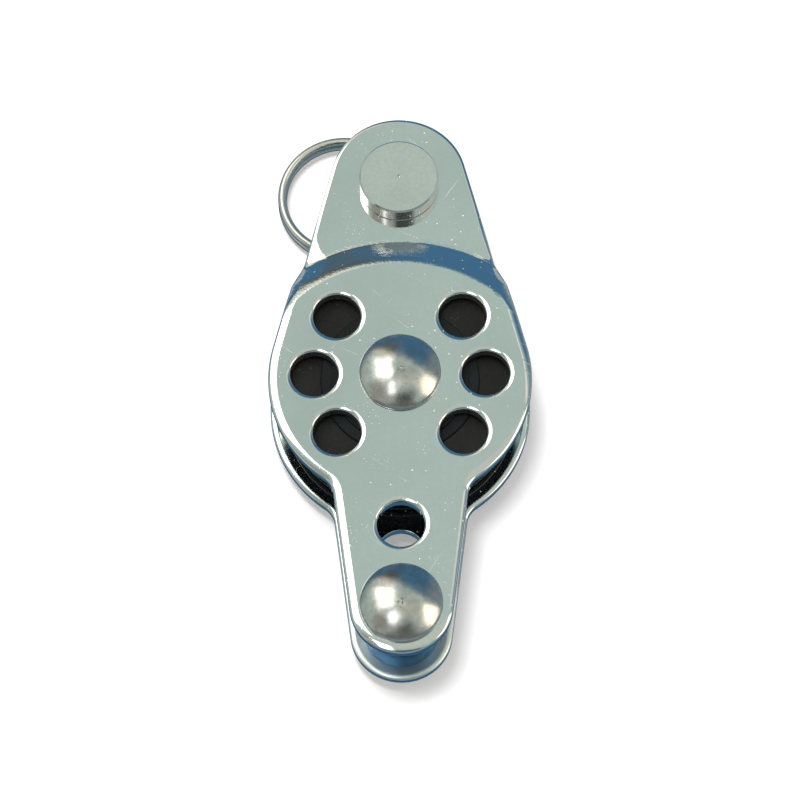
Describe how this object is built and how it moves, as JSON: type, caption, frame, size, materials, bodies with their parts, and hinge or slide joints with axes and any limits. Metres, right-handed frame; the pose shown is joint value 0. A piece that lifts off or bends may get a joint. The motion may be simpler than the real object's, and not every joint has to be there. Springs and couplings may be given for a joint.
{
  "type": "sailing block",
  "caption": "Sailing block with polished steel cheeks, a ball-bearing sheave, a clevis pin and split ring at the head, and a becket post on a long arm.",
  "frame": {"origin": "on the clevis pin's axis, half way across the jaw between the two straps", "axes": "+Y along the block towards the head, +Z along the pins' and the sheave's axes towards the front cheek, +X to the right seen from the front"},
  "size_m": [0.0322, 0.0739, 0.0158],
  "materials": {
    "cheek_steel": "mirror polished stainless steel",
    "rivet_steel": "satin stainless steel",
    "race_steel": "ground stainless steel",
    "post_steel": "polished stainless steel",
    "pin_steel": "turned and polished stainless steel",
    "ring_steel": "polished stainless wire",
    "ball_acetal": "smooth acetal",
    "sheave_black": "hard black anodised, satin",
    "cap_plastic": "dark moulded acetal",
    "washer_plastic": "dark acetal sheet"
  },
  "bodies": {
    "frame": {"front_cheek": "cheek_steel", "rear_cheek": "cheek_steel", "axle_rivet": "rivet_steel", "inner_race": "race_steel", "front_side_washer": "washer_plastic", "rear_side_washer": "washer_plastic", "becket_rivet": "rivet_steel", "becket_post": "post_steel"},
    "sheave": {"sheave": "sheave_black", "front_race_cap": "cap_plastic", "rear_race_cap": "cap_plastic"},
    "balls": {"front_ball_row": "ball_acetal", "rear_ball_row": "ball_acetal"},
    "clevis": {"clevis_pin": "pin_steel"},
    "ring": {"split_ring": "ring_steel"}
  },
  "joints": [
    {"name": "sheave_spin", "type": "hinge", "parent": "frame", "child": "sheave", "pos_m": [0, -0.02625, 0], "axis": [0, 0, 1], "continuous": true},
    {"name": "ball_orbit", "type": "hinge", "parent": "frame", "child": "balls", "pos_m": [0, -0.02625, 0], "axis": [0, 0, 1], "continuous": true},
    {"name": "pin_turn", "type": "hinge", "parent": "frame", "child": "clevis", "pos_m": [0, 0, 0], "axis": [0, 0, 1], "range_deg": [-157, 27]},
    {"name": "ring_swing", "type": "hinge", "parent": "clevis", "child": "ring", "pos_m": [0, 0, -0.00605], "axis": [-0.3907, -0.9205, 0], "range_deg": [-2, 168]}
  ],
  "couplings": [
    {"joint": "ball_orbit", "follows": "sheave_spin", "ratio": 0.6}
  ]
}
